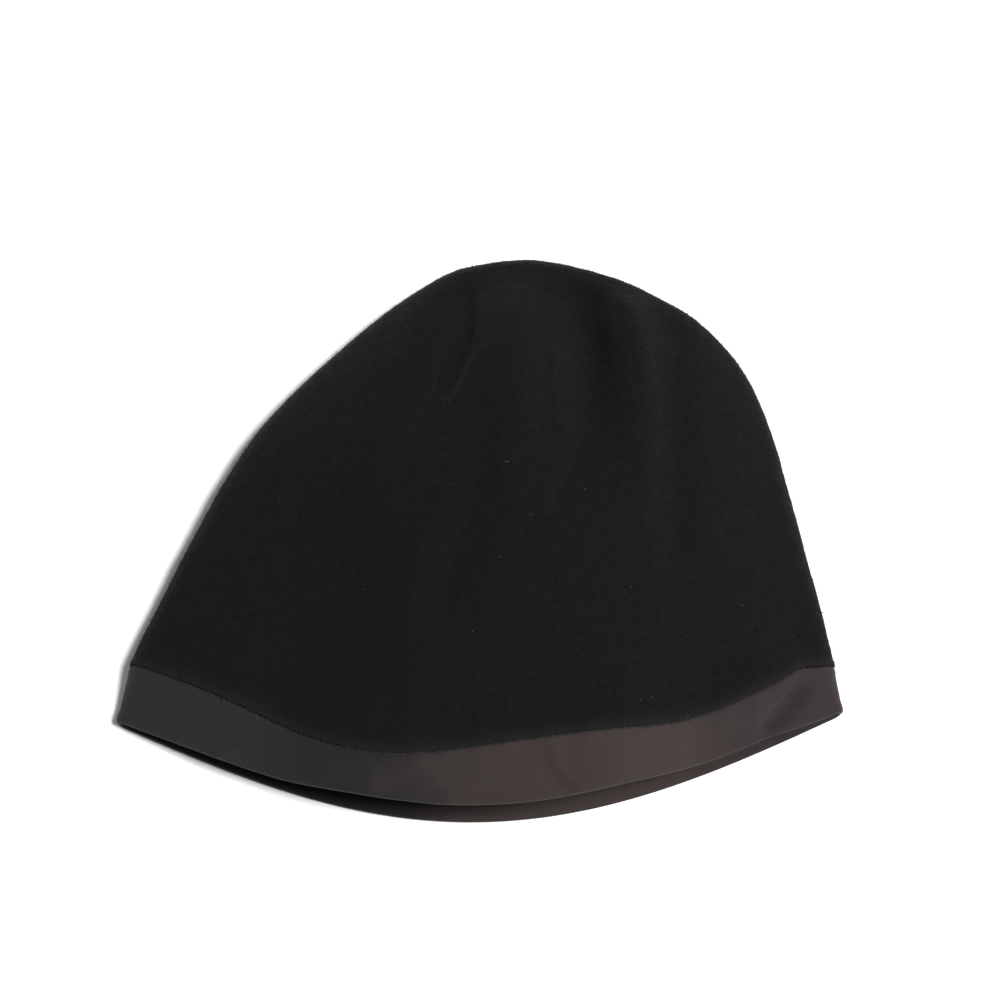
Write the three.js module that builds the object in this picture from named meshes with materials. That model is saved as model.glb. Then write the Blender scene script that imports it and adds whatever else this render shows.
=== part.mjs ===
// A fleece hat laid on its back on a flat surface: a one-piece fleece crown drawn in by four darts at its top, and a
// folded stretch-knit band sewn round its rim. +Z is up from the surface, +Y runs from the rim to the top of the crown.
import * as THREE from "three";

// Driving dimensions, in millimetres.
const RIM_WIDTH = 268; // across the rim, corner to corner, lying flat
const HAT_LENGTH = 225; // from the middle of the rim to the top of the crown, lying flat
const LOFT = 34; // how far the front wall swells above its folded edges, where it is fullest
const CROWN_WALL = 2.8; // fleece
const BAND_WALL = 2; // knit strip, folded double
const BAND_DEPTH = 22; // band that shows below the crown
const BAND_SET_BACK = 0.5; // the band's face lies this far inside the fleece's face
const SEAM_ALLOWANCE = 7; // band tucked up inside the crown
const SEAM_CLEARANCE = 0.3; // between the crown and the band
const BAND_FOLD = 0.8; // inner radius of the band where the hat folds at its corners
const CROWN_FOLD = 3.7; // inner radius of the crown's folded sides
const TOP_FOLD = 5.4; // inner radius of the crown's folded top edge
const LIP_ROUNDING = 1; // rounding of the crown's lower edge over the band
const SHOULDER_DROP = 1.4; // the band starts to turn in under the crown this far below the seam

// How finely the walls are faceted.
const EDGE_FACETS = 3; // round each quarter of a folded edge
const FRONT_FACETS = [11, 8, 11]; // outside, between and outside the darts of the front wall
const BACK_FACETS = [6, 4, 6]; // the same for the back wall
const CROWN_RINGS = 24; // up the crown, from the seam allowance to the rounded top edge
const TOP_RINGS = 5; // over the rounded top edge
const BAND_RINGS = 4; // up the band's face

// Sections from the rim to the top. up and the Y columns are shares of HAT_LENGTH, the X columns are shares of
// RIM_WIDTH from the middle of the rim, rise is a share of LOFT, and round says how circular the section's bow is.
// leftDart and rightDart say how far across the section each dart line lies.
const SECTIONS = [
  { up: 0, leftX: -0.4985, leftY: 0.161, rightX: 0.5, rightY: 0.178, rise: 0.6, round: 0, leftDart: 0.4, rightDart: 0.6 },
  { up: 0.098, leftX: -0.482, leftY: 0.254, rightX: 0.49, rightY: 0.252, rise: 0.68, round: 0, leftDart: 0.39, rightDart: 0.6 },
  { up: 0.2, leftX: -0.451, leftY: 0.35, rightX: 0.476, rightY: 0.35, rise: 0.82, round: 0, leftDart: 0.38, rightDart: 0.6 },
  { up: 0.31, leftX: -0.413, leftY: 0.457, rightX: 0.457, rightY: 0.457, rise: 0.94, round: 0.05, leftDart: 0.365, rightDart: 0.6 },
  { up: 0.41, leftX: -0.371, leftY: 0.566, rightX: 0.439, rightY: 0.566, rise: 1, round: 0.1, leftDart: 0.34, rightDart: 0.6 },
  { up: 0.52, leftX: -0.316, leftY: 0.678, rightX: 0.418, rightY: 0.678, rise: 0.99, round: 0.25, leftDart: 0.327, rightDart: 0.6 },
  { up: 0.63, leftX: -0.234, leftY: 0.792, rightX: 0.384, rightY: 0.784, rise: 0.9, round: 0.4, leftDart: 0.318, rightDart: 0.603 },
  { up: 0.745, leftX: -0.136, leftY: 0.903, rightX: 0.321, rightY: 0.877, rise: 0.74, round: 0.65, leftDart: 0.303, rightDart: 0.61 },
  { up: 0.83, leftX: -0.075, leftY: 0.956, rightX: 0.244, rightY: 0.938, rise: 0.54, round: 0.85, leftDart: 0.266, rightDart: 0.65 },
  { up: 0.89, leftX: -0.034, leftY: 0.982, rightX: 0.187, rightY: 0.969, rise: 0.36, round: 0.95, leftDart: 0.22, rightDart: 0.77 },
  { up: 0.945, leftX: 0.015, leftY: 0.995, rightX: 0.132, rightY: 0.989, rise: 0.17, round: 1, leftDart: 0.2, rightDart: 0.84 },
  { up: 1, leftX: 0.0735, leftY: 1, rightX: 0.0735, rightY: 1, rise: 0, round: 1, leftDart: 0.19, rightDart: 0.85 },
];

// The darts' grooves, which run over the top edge from the front wall to the back. line names the column above, foot
// and full are heights where the groove starts and is deepest, and the depths, widths and the rounding of its bottom are shares
// of LOFT.
const DARTS = [
  { line: "leftDart", foot: 0.46, full: 0.76, frontDepth: 0.14, backDepth: 0.05, width: 0.15 },
  { line: "rightDart", foot: 0.44, full: 0.74, frontDepth: 0.1, backDepth: 0.05, width: 0.15 },
];
const DART_ROUNDING = 0.07;

// Hollows, and swells where sink is below zero, of the front wall. Each runs along a line between two places, given
// as shares across and up, bend moves the line's middle sideways and width says how broad it is, both as shares of
// RIM_WIDTH, and sink is a share of LOFT.
const FOLDS = [
  { name: "pull of the left dart", from: [0.24, 0.86], to: [0.315, 0.52], bend: 0, width: 0.035, sink: 0.07 },
  { name: "hollow of the right dart", from: [0.62, 0.85], to: [0.575, 0.68], bend: 0, width: 0.046, sink: 0.15 },
  { name: "hollow right of the top", from: [0.7, 0.88], to: [0.62, 0.78], bend: 0, width: 0.03, sink: 0.06 },
  { name: "groove on the right", from: [0.845, 0.75], to: [0.775, 0.4], bend: 0.004, width: 0.03, sink: 0.08 },
  { name: "groove in the middle", from: [0.43, 0.6], to: [0.42, 0.34], bend: -0.012, width: 0.03, sink: 0.05 },
  { name: "hollow at the lower left", from: [0.22, 0.34], to: [0.25, 0.02], bend: 0, width: 0.08, sink: 0.14 },
  { name: "swell between the darts", from: [0.43, 0.82], to: [0.47, 0.55], bend: 0, width: 0.035, sink: -0.06 },
  { name: "swell on the right", from: [0.81, 0.82], to: [0.715, 0.55], bend: 0, width: 0.032, sink: -0.06 },
  { name: "ridge below the left dart", from: [0.375, 0.36], to: [0.41, 0.05], bend: 0, width: 0.026, sink: -0.03 },
];

// Where the seam dips below or climbs above its straight line on the front wall. across and reach are shares of the
// wall's width, and drop is a share of BAND_DEPTH.
const SEAM_WAVES = [
  { across: 0.34, reach: 0.15, drop: 0.34 },
  { across: 0.78, reach: 0.11, drop: 0.17 },
  { across: 0.945, reach: 0.03, drop: -0.14 },
];

// Where the front of the rim lifts or sinks. lift is a share of LOFT.
const RIM_WAVES = [
  { across: 0.31, reach: 0.09, lift: 0.12 },
  { across: 0.55, reach: 0.08, lift: 0.03 },
  { across: 0.68, reach: 0.08, lift: 0.14 },
  { across: 0.88, reach: 0.05, lift: 0.1 },
];

const BAND_TOP = BAND_DEPTH / HAT_LENGTH;
const ALLOWANCE_TOP = (BAND_DEPTH + SEAM_ALLOWANCE) / HAT_LENGTH;
const TUCK = CROWN_WALL + SEAM_CLEARANCE; // how far the tucked band lies inside the fleece's face
const CORNER = 1 - Math.SQRT1_2; // how far in the middle of a quarter round lies, as a share of its radius

// Outer radius of the folded edge: the walls that fold there, and the room left inside them.
const EDGE_RADII = [
  { up: 0, radius: BAND_SET_BACK + BAND_WALL + BAND_FOLD },
  { up: BAND_TOP, radius: TUCK + BAND_WALL + BAND_FOLD },
  { up: ALLOWANCE_TOP, radius: TUCK + BAND_WALL + BAND_FOLD },
  { up: 0.35, radius: CROWN_WALL + CROWN_FOLD },
  { up: 0.7, radius: CROWN_WALL + CROWN_FOLD },
  { up: 1, radius: CROWN_WALL + TOP_FOLD },
];

const { clamp, lerp, smoothstep } = THREE.MathUtils;

// A bell of height 1 at 0 that has died away at about two widths.
const bell = (distance, width) => Math.exp(-((distance / width) ** 2));

// A column of a table at a share of the way up, on a smooth curve through its rows.
function column(rows, name, up) {
  const found = rows.findIndex((row, k) => k > 0 && up <= row.up);
  const i = found < 0 ? rows.length - 2 : found - 1;
  const span = rows[i + 1].up - rows[i].up;
  const t = (up - rows[i].up) / span;
  const slope = (k) => {
    const low = rows[Math.max(k - 1, 0)];
    const high = rows[Math.min(k + 1, rows.length - 1)];
    return ((high[name] - low[name]) / (high.up - low.up)) * span;
  };
  const rise = rows[i + 1][name] - rows[i][name];
  const bendIn = slope(i) - rise;
  const bendOut = rise - slope(i + 1);
  return rows[i][name] + t * rise + t * (1 - t) * ((1 - t) * bendIn + t * bendOut);
}

// One section: its ends, its bow towards the rim, its length along the bow, and the shape of its front wall.
function sectionAt(up) {
  const at = (name) => column(SECTIONS, name, up);
  const left = new THREE.Vector2(at("leftX") * RIM_WIDTH, at("leftY") * HAT_LENGTH);
  const right = new THREE.Vector2(at("rightX") * RIM_WIDTH, at("rightY") * HAT_LENGTH);
  const bow = (left.y + right.y) / 2 - up * HAT_LENGTH;
  const length = Math.sqrt(left.distanceToSquared(right) + (Math.PI ** 2 / 2) * bow * bow);
  return {
    left,
    right,
    bow,
    length,
    radius: column(EDGE_RADII, "radius", up),
    rise: at("rise") * LOFT,
    round: at("round"),
    leftDart: at("leftDart"),
    rightDart: at("rightDart"),
  };
}

// Where a place across a section lies on the plan.
function planAt(section, across) {
  const circular = (1 - Math.cos(Math.PI * across)) / 2;
  const x = lerp(section.left.x, section.right.x, lerp(across, circular, section.round));
  const y = lerp(section.left.y, section.right.y, across) - section.bow * Math.sin(Math.PI * across);
  return new THREE.Vector2(x, y);
}

// How strongly a fold shows at a place on the plan, from 0 to 1. It dies away past its ends over FOLD_END widths.
const FOLD_END = 2;
function foldStrength(fold, place) {
  const from = planAt(sectionAt(fold.from[1]), fold.from[0]);
  const run = planAt(sectionAt(fold.to[1]), fold.to[0]).sub(from);
  const length = run.length();
  const offset = place.clone().sub(from);
  const along = offset.dot(run) / length ** 2;
  const bent = fold.bend * RIM_WIDTH * 4 * along * (1 - along);
  const aside = offset.cross(run) / length - bent;
  const beyond = (along - clamp(along, 0, 1)) * length;
  const width = fold.width * RIM_WIDTH;
  return bell(aside, width) * bell(beyond, FOLD_END * width);
}

const foldSink = (place) =>
  FOLDS.reduce((sum, fold) => sum + fold.sink * LOFT * foldStrength(fold, place), 0);

const waveOf = (waves, name, across) =>
  waves.reduce((sum, wave) => sum + wave[name] * bell(across - wave.across, wave.reach), 0);

// How far across a section a turn lies. A turn runs once round the hat: 0 to 0.5 over the front wall from left to
// right, 0.5 to 1 back under it. The folded edge takes EDGE_TURN at each end of a wall and at most EDGE_LIMIT of the
// section, and the dart lines keep their own turns.
const EDGE_TURN = 0.05;
const EDGE_LIMIT = 0.1;
const DART_TURNS = [0.19, 0.31];
function acrossAt(section, turn) {
  const half = Math.min(turn, 1 - turn);
  const edge = Math.min(section.radius / section.length, EDGE_LIMIT);
  const near = Math.min(half, 0.5 - half);
  if (near < EDGE_TURN) {
    const within = edge * (1 - Math.cos((near / EDGE_TURN) * (Math.PI / 2)));
    return half < 0.25 ? within : 1 - within;
  }
  const turns = [EDGE_TURN, ...DART_TURNS, 0.5 - EDGE_TURN];
  const shares = [edge, section.leftDart, section.rightDart, 1 - edge];
  const i = clamp(turns.findIndex((end) => half <= end), 1, turns.length - 1) - 1;
  return lerp(shares[i], shares[i + 1], (half - turns[i]) / (turns[i + 1] - turns[i]));
}

// The hat's outer face before its darts are drawn in. Folds and rim waves fade in between one and DRAPE_REACH edge
// radii from the folded edge, and the rim waves die away over RIM_WAVE_REACH.
const DRAPE_REACH = 3;
const RIM_WAVE_REACH = 2 * BAND_TOP;
function smoothPoint(up, turn) {
  const section = sectionAt(up);
  const front = turn <= 0.5;
  const across = acrossAt(section, turn);
  const place = planAt(section, across);
  const { radius } = section;
  const inward = (section.length / Math.PI) * Math.sin(Math.PI * across);
  const edge = Math.sqrt(radius ** 2 - (radius - Math.min(inward, radius)) ** 2);
  if (!front) return new THREE.Vector3(place.x, place.y, radius - edge);
  const lift = LOFT * waveOf(RIM_WAVES, "lift", across) * bell(up, RIM_WAVE_REACH);
  const drape = smoothstep(inward, radius, DRAPE_REACH * radius) * (lift - foldSink(place));
  const z = radius + edge + section.rise * 4 * across * (1 - across) + drape;
  return new THREE.Vector3(place.x, place.y, z);
}

// The outward direction of that face, from its slopes both ways over a small step.
const SLOPE_STEP = 1e-4;
function outwardAt(up, turn) {
  const level = clamp(up, SLOPE_STEP, 1 - SLOPE_STEP);
  const along = smoothPoint(level + SLOPE_STEP, turn).sub(smoothPoint(level - SLOPE_STEP, turn));
  const start = turn < SLOPE_STEP ? 1 + turn : turn;
  const round = smoothPoint(level, (turn + SLOPE_STEP) % 1).sub(smoothPoint(level, start - SLOPE_STEP));
  return round.cross(along).normalize();
}

// How deep the darts' grooves are at a place.
function grooveAt(up, turn) {
  const section = sectionAt(up);
  const across = acrossAt(section, turn);
  return DARTS.reduce((sum, dart) => {
    const aside = Math.abs(across - section[dart.line]) * section.length;
    const depth = (turn <= 0.5 ? dart.frontDepth : dart.backDepth) * LOFT;
    const along = smoothstep(up, dart.foot, dart.full) * (1 - smoothstep(up, dart.full, 1));
    const rounded = Math.hypot(aside, DART_ROUNDING * LOFT);
    return sum + depth * along * Math.exp(-rounded / (dart.width * LOFT));
  }, 0);
}

// A point of the hat's wall, depth inside its outer face.
const wallPoint = (up, turn, depth) =>
  smoothPoint(up, turn).addScaledVector(outwardAt(up, turn), -grooveAt(up, turn) - depth);

// The turns where every ring has its points: even facets, with closer ones beside the darts.
const BESIDE_DARTS = [-0.008, -0.003, 0, 0.003, 0.008];
function halfTurns(facets) {
  const stops = [EDGE_TURN, ...DART_TURNS, 0.5 - EDGE_TURN];
  const edge = Array.from({ length: EDGE_FACETS }, (_, k) => (EDGE_TURN * k) / EDGE_FACETS);
  const spans = facets.flatMap((count, i) =>
    Array.from({ length: count - 1 }, (_, k) => lerp(stops[i], stops[i + 1], (k + 1) / count)),
  );
  const darts = DART_TURNS.flatMap((turn) => BESIDE_DARTS.map((aside) => turn + aside));
  const ends = [stops[0], stops[3], ...edge.slice(1).map((turn) => 0.5 - turn)];
  return [...edge, ...spans, ...darts, ...ends].sort((a, b) => a - b);
}
const TURNS = [
  ...halfTurns(FRONT_FACETS),
  ...halfTurns(BACK_FACETS).map((turn) => (turn === 0 ? 0.5 : 1 - turn)).sort((a, b) => a - b),
];

// Where the seam runs round the hat, as a share up: straight at the back and wavy at the front.
const seamAt = (turn) =>
  turn > 0.5 ? BAND_TOP : BAND_TOP * (1 - waveOf(SEAM_WAVES, "drop", acrossAt(sectionAt(BAND_TOP), turn)));

// A ring of points round the hat, upOf(turn) high and depth inside its outer face.
const ring = (upOf, depth) => TURNS.map((turn) => wallPoint(upOf(turn), turn, depth));

// A closed body skinned over rings. Rings of a single point close its ends; without them the last ring meets the first.
function skin(rings) {
  const position = rings.flat().flatMap((point) => point.toArray());
  const starts = rings.map((_, r) => rings.slice(0, r).reduce((sum, each) => sum + each.length, 0));
  const capped = rings[0].length === 1;
  const index = [];
  for (let r = 0; r < rings.length - (capped ? 1 : 0); r += 1) {
    const next = (r + 1) % rings.length;
    const corner = (which, k) => starts[which] + (k % rings[which].length);
    for (let k = 0; k < TURNS.length; k += 1) {
      const [a, b, c, d] = [corner(r, k), corner(r, k + 1), corner(next, k + 1), corner(next, k)];
      if (a !== b) index.push(a, b, c);
      if (c !== d) index.push(a, c, d);
    }
  }
  const geometry = new THREE.BufferGeometry();
  geometry.setAttribute("position", new THREE.Float32BufferAttribute(position, 3));
  geometry.setIndex(index);
  geometry.computeVertexNormals();
  return geometry;
}

// A height above or below the seam, in millimetres.
const fromSeam = (rise) => (turn) => seamAt(turn) + rise / HAT_LENGTH;

// Heights of the crown's rings: close ones over the seam allowance, even ones up the wall, then ones that keep even
// angles round the top edge, which start TOP_EDGE_RADII of its radius below the top. The even ones are shares of the
// way from the allowance to the top.
const TOP_EDGE_RADII = 1.4;
const TOP_EDGE = (TOP_EDGE_RADII * (CROWN_WALL + TOP_FOLD)) / HAT_LENGTH;
const OVER_ALLOWANCE = [SEAM_CLEARANCE + LIP_ROUNDING, SEAM_ALLOWANCE / 2].map(fromSeam);
const UP_THE_WALL = [
  ...Array.from({ length: CROWN_RINGS }, (_, k) => (k / CROWN_RINGS) * (1 - TOP_EDGE)),
  ...Array.from({ length: TOP_RINGS }, (_, k) => 1 - TOP_EDGE * (1 - Math.sin((k / TOP_RINGS) * (Math.PI / 2)))),
].map((share) => (turn) => lerp(fromSeam(SEAM_ALLOWANCE)(turn), 1, share));

// The fleece crown: its inner face from the top down, its rounded lower edge, and its outer face back up.
function crown() {
  const top = smoothPoint(1, 0);
  const outer = [...OVER_ALLOWANCE, ...UP_THE_WALL];
  const inner = [...OVER_ALLOWANCE, ...UP_THE_WALL.filter((_, k) => k % 2 === 0)];
  const lip = [
    ring(fromSeam(SEAM_CLEARANCE), CROWN_WALL),
    ring(fromSeam(SEAM_CLEARANCE), LIP_ROUNDING),
    ring(fromSeam(SEAM_CLEARANCE + LIP_ROUNDING * CORNER), LIP_ROUNDING * CORNER),
  ];
  return skin([
    [top.clone().add(new THREE.Vector3(0, -CROWN_WALL, 0))],
    ...inner.reverse().map((upOf) => ring(upOf, CROWN_WALL)),
    ...lip,
    ...outer.map((upOf) => ring(upOf, 0)),
    [top],
  ]);
}

// The band: a strip folded at the rim, whose upper edges turn in under the crown.
function band() {
  const innerFace = BAND_SET_BACK + BAND_WALL;
  const innerTuck = TUCK + BAND_WALL;
  const bend = BAND_WALL / 2;
  const shares = Array.from({ length: BAND_RINGS }, (_, k) => k / (BAND_RINGS - 1));
  const face = (drop) => shares.map((share) => (turn) => lerp(bend / HAT_LENGTH, fromSeam(-drop)(turn), share));
  return skin([
    ...face(SHOULDER_DROP).map((upOf) => ring(upOf, BAND_SET_BACK)),
    ring(fromSeam(-SHOULDER_DROP / 3), (BAND_SET_BACK + TUCK) / 2),
    ring(fromSeam(0), TUCK),
    ring(fromSeam(SEAM_ALLOWANCE / 2), TUCK),
    ring(fromSeam(SEAM_ALLOWANCE), TUCK),
    ring(fromSeam(SEAM_ALLOWANCE), innerTuck),
    ring(fromSeam(SEAM_ALLOWANCE / 2), innerTuck),
    ring(fromSeam(-SHOULDER_DROP / 2), innerTuck),
    ...face(2 * SHOULDER_DROP).reverse().map((upOf) => ring(upOf, innerFace)),
    ring(() => (bend * CORNER) / HAT_LENGTH, innerFace - bend * CORNER),
    ring(() => 0, BAND_SET_BACK + bend),
    ring(() => (bend * CORNER) / HAT_LENGTH, BAND_SET_BACK + bend * CORNER),
  ]);
}

const FLEECE = new THREE.MeshStandardMaterial({ name: "fleece", color: 0x1c1c1d, roughness: 1, metalness: 0 });
const KNIT = new THREE.MeshStandardMaterial({ name: "band knit", color: 0x443e3d, roughness: 0.9, metalness: 0 });

function named(name, geometry, material) {
  const mesh = new THREE.Mesh(geometry, material);
  mesh.name = name;
  return mesh;
}

// The hat, moved so that its frame lies under the middle of its outline.
const hat = new THREE.Group();
hat.add(named("crown", crown(), FLEECE), named("rim_band", band(), KNIT));
const bounds = new THREE.Box3().setFromObject(hat, true);
const middle = bounds.getCenter(new THREE.Vector3());
hat.position.set(-middle.x, -middle.y, -bounds.min.z);
const part = new THREE.Group();
part.add(hat);

export default part;
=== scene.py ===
# A fleece hat that lies on its back: a napped fleece crown drawn in by darts at its top, and a band of
# stretch knit that is folded at the rim and sewn inside the crown's lower edge.
import math
from types import SimpleNamespace

import bpy
import numpy as np
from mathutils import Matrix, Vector


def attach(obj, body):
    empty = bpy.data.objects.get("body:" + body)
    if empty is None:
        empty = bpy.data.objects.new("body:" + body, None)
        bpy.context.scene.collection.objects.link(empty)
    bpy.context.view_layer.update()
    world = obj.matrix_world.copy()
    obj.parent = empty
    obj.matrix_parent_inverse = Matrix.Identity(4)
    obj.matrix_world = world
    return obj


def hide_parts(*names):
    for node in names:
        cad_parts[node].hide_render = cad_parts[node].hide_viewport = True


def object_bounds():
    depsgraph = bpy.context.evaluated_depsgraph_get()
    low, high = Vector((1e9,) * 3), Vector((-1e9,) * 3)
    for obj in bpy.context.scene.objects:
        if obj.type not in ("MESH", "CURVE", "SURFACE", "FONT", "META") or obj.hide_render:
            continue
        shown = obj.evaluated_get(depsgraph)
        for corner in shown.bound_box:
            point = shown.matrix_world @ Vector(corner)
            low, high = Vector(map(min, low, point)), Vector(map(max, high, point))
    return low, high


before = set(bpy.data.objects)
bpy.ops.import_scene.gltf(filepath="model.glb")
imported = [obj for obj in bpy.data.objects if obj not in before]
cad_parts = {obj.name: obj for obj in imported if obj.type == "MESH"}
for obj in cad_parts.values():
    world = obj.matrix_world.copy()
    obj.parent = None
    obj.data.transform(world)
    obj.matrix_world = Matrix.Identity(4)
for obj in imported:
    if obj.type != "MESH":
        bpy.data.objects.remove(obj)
CAD_LOW, CAD_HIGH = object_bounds()

# Shapes are worked out in millimetres and placed in the frame in metres.
MM = 0.001

# Driving sizes of the hat, in millimetres.
HAT_LENGTH = (CAD_HIGH.y - CAD_LOW.y) / MM  # from the middle of the rim to the top of the crown, lying flat
RIM_WIDTH = 268  # across the rim, corner to corner, lying flat
LOFT = 34  # how far the front wall swells above its folded edges, where it is fullest
CROWN_WALL = 2.8
BAND_WALL = 2
BAND_DEPTH = 22  # band that shows below the crown
BAND_SET_BACK = 0.5  # the band's face lies this far inside the fleece's face
SEAM_ALLOWANCE = 7  # band tucked up inside the crown
SEAM_CLEARANCE = 0.3
BAND_FOLD = 0.8  # inner radius of the band where the hat folds at its corners
CROWN_FOLD = 3.7  # inner radius of the crown's folded sides
TOP_FOLD = 5.4  # inner radius of the crown's folded top edge
LIP_ROUNDING = 0.5  # rounding of the crown's lower edge over the band
SHOULDER_DROP = 0.4  # the band starts to turn in under the crown this far below the seam
INNER_DROP = 1.6  # and its inner face this far below

# How finely the walls are faceted.
EDGE_FACETS = 8  # round each quarter of a folded edge
FRONT_FACETS = (84, 44, 84)  # left of, between and right of the darts of the front wall
BACK_FACETS = (34, 18, 34)  # the same for the back
CROWN_ROWS = 150  # up the crown's outer face, from the seam to the rounded top edge
TOP_ROWS = 12  # over the rounded top edge
TOP_EDGE_RADII = 1.4  # which starts this many of its outer radii below the top
LIP_FACETS = 4  # round the crown's lower edge
BAND_ROWS = 44  # up the band's face
SHOULDER_FACETS = 5  # where it turns in under the crown
RIM_FACETS = 8  # round its fold at the rim
INNER_STEP = 4  # an inner face has one row for this many of the outer face's


def table(names, rows):
    """The columns of a table, by name."""
    return dict(zip(names.split(), np.array(rows, float).T))


# Sections from the rim to the top. up and the y columns are shares of HAT_LENGTH, and the x columns are
# shares of RIM_WIDTH from the middle of the rim. rise is a share of LOFT, and round says how circular the
# section's bow is. The dart columns say how far across the section each dart line lies.
SECTIONS = table("up left_x left_y right_x right_y rise round left_dart right_dart", [
    (0, -0.4985, 0.161, 0.5, 0.178, 0.6, 0, 0.4, 0.6),
    (0.098, -0.482, 0.254, 0.49, 0.252, 0.68, 0, 0.39, 0.6),
    (0.2, -0.451, 0.35, 0.476, 0.35, 0.82, 0, 0.38, 0.6),
    (0.31, -0.413, 0.457, 0.457, 0.457, 0.94, 0.05, 0.365, 0.6),
    (0.41, -0.371, 0.566, 0.439, 0.566, 1, 0.1, 0.34, 0.6),
    (0.52, -0.316, 0.678, 0.418, 0.678, 0.99, 0.25, 0.327, 0.6),
    (0.63, -0.234, 0.792, 0.384, 0.784, 0.9, 0.4, 0.318, 0.603),
    (0.745, -0.136, 0.903, 0.321, 0.877, 0.74, 0.65, 0.303, 0.61),
    (0.83, -0.075, 0.956, 0.244, 0.938, 0.54, 0.85, 0.266, 0.65),
    (0.89, -0.034, 0.982, 0.187, 0.969, 0.36, 0.95, 0.22, 0.77),
    (0.945, 0.015, 0.995, 0.132, 0.989, 0.17, 1, 0.2, 0.84),
    (1, 0.0735, 1, 0.0735, 1, 0, 1, 0.19, 0.85),
])

# The darts' grooves, which run over the top edge from the front wall to the back. foot and full are the
# heights where a groove starts and where it is deepest. Its depths, its width and the rounding of its
# bottom are shares of LOFT.
DARTS = [
    {"line": "left_dart", "foot": 0.46, "full": 0.76, "front_depth": 0.14, "back_depth": 0.05, "width": 0.15},
    {"line": "right_dart", "foot": 0.44, "full": 0.74, "front_depth": 0.1, "back_depth": 0.05, "width": 0.15},
]
DART_ROUNDING = 0.07

# Hollows of the front wall, and swells where sink is below zero. Each runs along a line between two
# places, given as shares across and up. bend moves the line's middle sideways and width says how broad
# the fold is, both as shares of RIM_WIDTH, and sink is a share of LOFT.
FOLD_COLUMNS = "from_across from_up to_across to_up bend width sink"
BROAD_FOLDS = table(FOLD_COLUMNS, [
    (0.24, 0.86, 0.315, 0.52, 0, 0.035, 0.07),  # pull of the left dart
    (0.62, 0.85, 0.575, 0.68, 0, 0.046, 0.15),  # hollow of the right dart
    (0.7, 0.88, 0.62, 0.78, 0, 0.03, 0.06),  # hollow right of the top
    (0.845, 0.75, 0.775, 0.4, 0.004, 0.03, 0.08),  # groove on the right
    (0.43, 0.6, 0.42, 0.34, -0.012, 0.03, 0.05),  # groove in the middle
    (0.22, 0.34, 0.25, 0.02, 0, 0.08, 0.14),  # hollow at the lower left
    (0.43, 0.82, 0.47, 0.55, 0, 0.035, -0.06),  # swell between the darts
    (0.81, 0.82, 0.715, 0.55, 0, 0.032, -0.06),  # swell on the right
    (0.375, 0.36, 0.41, 0.05, 0, 0.026, -0.03),  # ridge below the left dart
])

# Where the seam dips below or climbs above its straight line on the front wall. across and reach are
# shares of the wall's width, and drop is a share of BAND_DEPTH.
SEAM_WAVES = table("across reach drop", [
    (0.34, 0.15, 0.34),
    (0.78, 0.11, 0.17),
    (0.945, 0.03, -0.14),
])

# Where the front of the rim lifts. lift is a share of LOFT.
RIM_WAVES = table("across reach lift", [
    (0.31, 0.09, 0.12),
    (0.55, 0.08, 0.03),
    (0.68, 0.08, 0.14),
    (0.88, 0.05, 0.1),
])

BAND_TOP = BAND_DEPTH / HAT_LENGTH
ALLOWANCE_TOP = (BAND_DEPTH + SEAM_ALLOWANCE) / HAT_LENGTH
TUCK = CROWN_WALL + SEAM_CLEARANCE  # how far the tucked band lies inside the fleece's face

# Outer radius of the folded edge: the walls that fold there, and the room left inside them.
EDGE_RADII = table("up radius", [
    (0, BAND_SET_BACK + BAND_WALL + BAND_FOLD),
    (BAND_TOP, TUCK + BAND_WALL + BAND_FOLD),
    (ALLOWANCE_TOP, TUCK + BAND_WALL + BAND_FOLD),
    (0.35, CROWN_WALL + CROWN_FOLD),
    (0.7, CROWN_WALL + CROWN_FOLD),
    (1, CROWN_WALL + TOP_FOLD),
])

# A turn runs once round the hat: 0 to 0.5 over the front wall from left to right, and 0.5 to 1 back under
# it. The folded edge takes EDGE_TURN of it at each end of a wall, and at most EDGE_LIMIT of the section.
# The dart lines keep their own turns.
EDGE_TURN = 0.05
EDGE_LIMIT = 0.1
DART_TURNS = (0.19, 0.31)
DRAPE_REACH = 3  # folds fade in between one and this many edge radii from the folded edge
RIM_WAVE_REACH = 2 * BAND_TOP
FOLD_END = 2  # a fold dies away past its ends over this many widths
SLOPE_STEP = 1e-4


def bell(distance, width):
    """A bell of height 1 at 0 that has died away at about two widths."""
    return np.exp(-((distance / width) ** 2))


def smoothstep(value, start, end):
    """0 below start and 1 above end, and smooth between."""
    t = np.clip((value - start) / (end - start), 0, 1)
    return t * t * (3 - 2 * t)


def column(rows, name, up):
    """A column of a table at a share of the way up, on a smooth curve through its rows."""
    ups, values = rows["up"], rows[name]
    last = len(ups) - 1
    low = np.maximum(np.arange(last + 1) - 1, 0)
    high = np.minimum(np.arange(last + 1) + 1, last)
    slopes = (values[high] - values[low]) / (ups[high] - ups[low])
    i = np.clip(np.searchsorted(ups, up) - 1, 0, last - 1)
    span = ups[i + 1] - ups[i]
    t = (up - ups[i]) / span
    rise = values[i + 1] - values[i]
    bend_in = slopes[i] * span - rise
    bend_out = rise - slopes[i + 1] * span
    return values[i] + t * rise + t * (1 - t) * ((1 - t) * bend_in + t * bend_out)


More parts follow.
